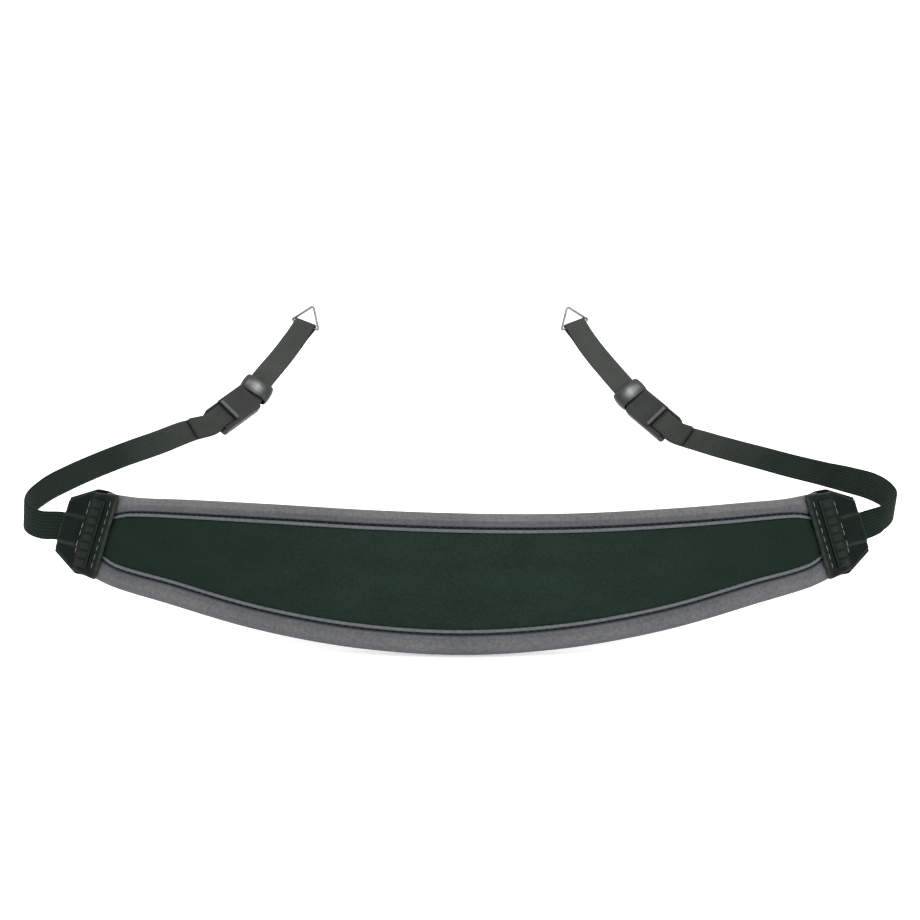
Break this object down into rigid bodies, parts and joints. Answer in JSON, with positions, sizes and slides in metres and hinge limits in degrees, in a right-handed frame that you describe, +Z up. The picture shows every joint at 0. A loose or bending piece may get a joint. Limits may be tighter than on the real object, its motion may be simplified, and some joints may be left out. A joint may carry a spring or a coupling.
{
  "type": "camera neck strap",
  "caption": "Padded curved camera neck strap with stitched end tabs and narrow webbing that runs through adjusters and keepers to triangular rings.",
  "frame": {"origin": "midway between the two triangular rings and about 1 mm below their highest points, between a camera's lugs", "axes": "+X to the strap's right end, +Z up, the neck pad lies towards -Y"},
  "size_m": [0.309, 0.2743, 0.0591],
  "materials": {
    "pad_grey": "brushed jersey over foam",
    "panel_black": "matte jersey over foam",
    "piping": "smooth folded piping",
    "tab_leather": "satin grained",
    "webbing": "woven, matte",
    "adjuster_plastic": "fine moulded texture",
    "keeper_plastic": "semi-gloss",
    "ring_steel": "polished"
  },
  "bodies": {
    "root": {"neck_pad": "pad_grey", "centre_panel": "panel_black", "piping_lower": "piping", "piping_upper": "piping", "tab_back_left": "tab_leather", "tab_front_left": "tab_leather", "tab_band_left": "tab_leather", "webbing_left": "webbing", "adjuster_left": "adjuster_plastic", "keeper_left": "keeper_plastic", "ring_left": "ring_steel", "tab_back_right": "tab_leather", "tab_front_right": "tab_leather", "tab_band_right": "tab_leather", "webbing_right": "webbing", "adjuster_right": "adjuster_plastic", "keeper_right": "keeper_plastic", "ring_right": "ring_steel"}
  },
  "joints": []
}
